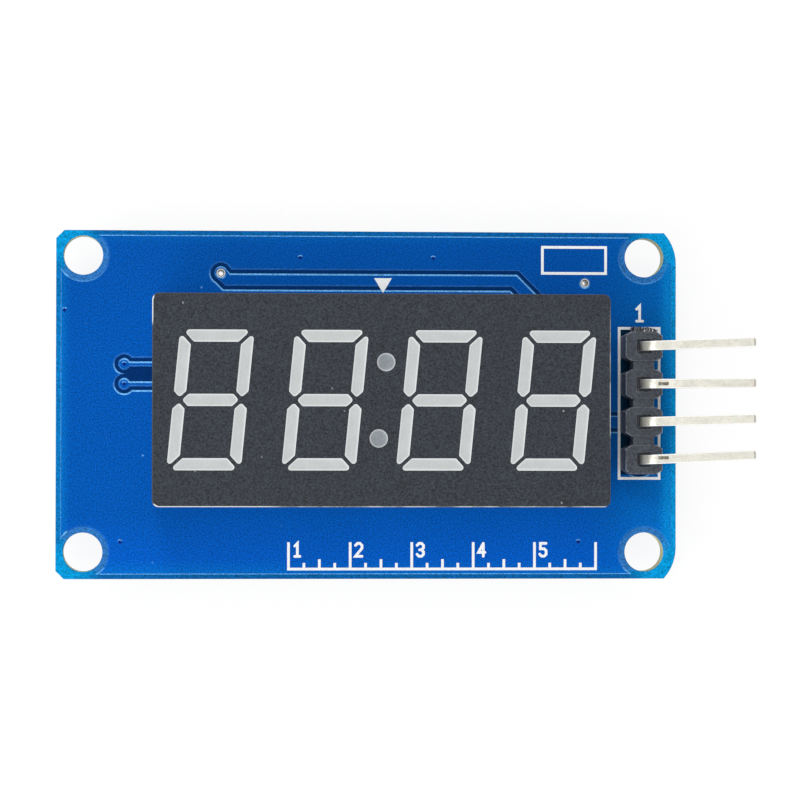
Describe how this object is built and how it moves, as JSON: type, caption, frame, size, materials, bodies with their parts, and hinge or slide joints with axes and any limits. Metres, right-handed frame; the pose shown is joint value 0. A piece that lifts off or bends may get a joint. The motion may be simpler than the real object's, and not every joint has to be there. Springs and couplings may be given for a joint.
{
  "type": "seven segment display module",
  "caption": "LED number display with a colon on a blue board with corner mounting holes, a driver chip behind and a bent pin header at one end.",
  "frame": {"origin": "centre of the four corner mounting holes, on the circuit board's back face", "axes": "+Z out of the display's face, +X towards the header's bent pins, +Y up as the digits are read"},
  "size_m": [0.0469, 0.0235, 0.0112],
  "materials": {
    "masked_laminate": "satin",
    "masked_copper": "satin",
    "tinned_copper": "satin",
    "white_print": "matte",
    "white_housing": "satin",
    "black_coat": "matte",
    "milky_resin": "satin",
    "carrier_laminate": "matte",
    "light_chip": "satin",
    "tinned_pin": "satin",
    "black_strip": "satin",
    "header_metal": "polished",
    "moulded_epoxy": "matte",
    "brown_ceramic": "satin",
    "white_ceramic": "satin",
    "dark_glaze": "gloss",
    "solder": "bright"
  },
  "bodies": {
    "root": {"circuit_board": "masked_laminate", "front_copper": "masked_copper", "back_copper": "masked_copper", "hole_plating": "tinned_copper", "via_plating": "tinned_copper", "surface_pads": "tinned_copper", "front_legend": "white_print", "back_legend": "white_print", "display_housing": "white_housing", "display_face_coat": "black_coat", "display_resin": "milky_resin", "led_carrier_board": "carrier_laminate", "led_chips_digit_1": "light_chip", "led_chips_digit_2": "light_chip", "led_chips_digit_3": "light_chip", "led_chips_digit_4": "light_chip", "led_chips_colon": "light_chip", "display_pin_01": "tinned_pin", "display_pin_02": "tinned_pin", "display_pin_03": "tinned_pin", "display_pin_04": "tinned_pin", "display_pin_05": "tinned_pin", "display_pin_06": "tinned_pin", "display_pin_07": "tinned_pin", "display_pin_08": "tinned_pin", "display_pin_09": "tinned_pin", "display_pin_10": "tinned_pin", "display_pin_11": "tinned_pin", "display_pin_12": "tinned_pin", "header_strip": "black_strip", "header_pin_1": "header_metal", "header_pin_2": "header_metal", "header_pin_3": "header_metal", "header_pin_4": "header_metal", "driver_chip_body": "moulded_epoxy", "driver_chip_leads": "tinned_pin", "capacitor_bodies": "brown_ceramic", "capacitor_ends": "tinned_copper", "resistor_bodies": "white_ceramic", "resistor_coats": "dark_glaze", "resistor_ends": "tinned_copper", "display_pin_solder": "solder", "header_pin_solder": "solder", "driver_chip_solder": "solder", "chip_part_solder": "solder"}
  },
  "joints": []
}
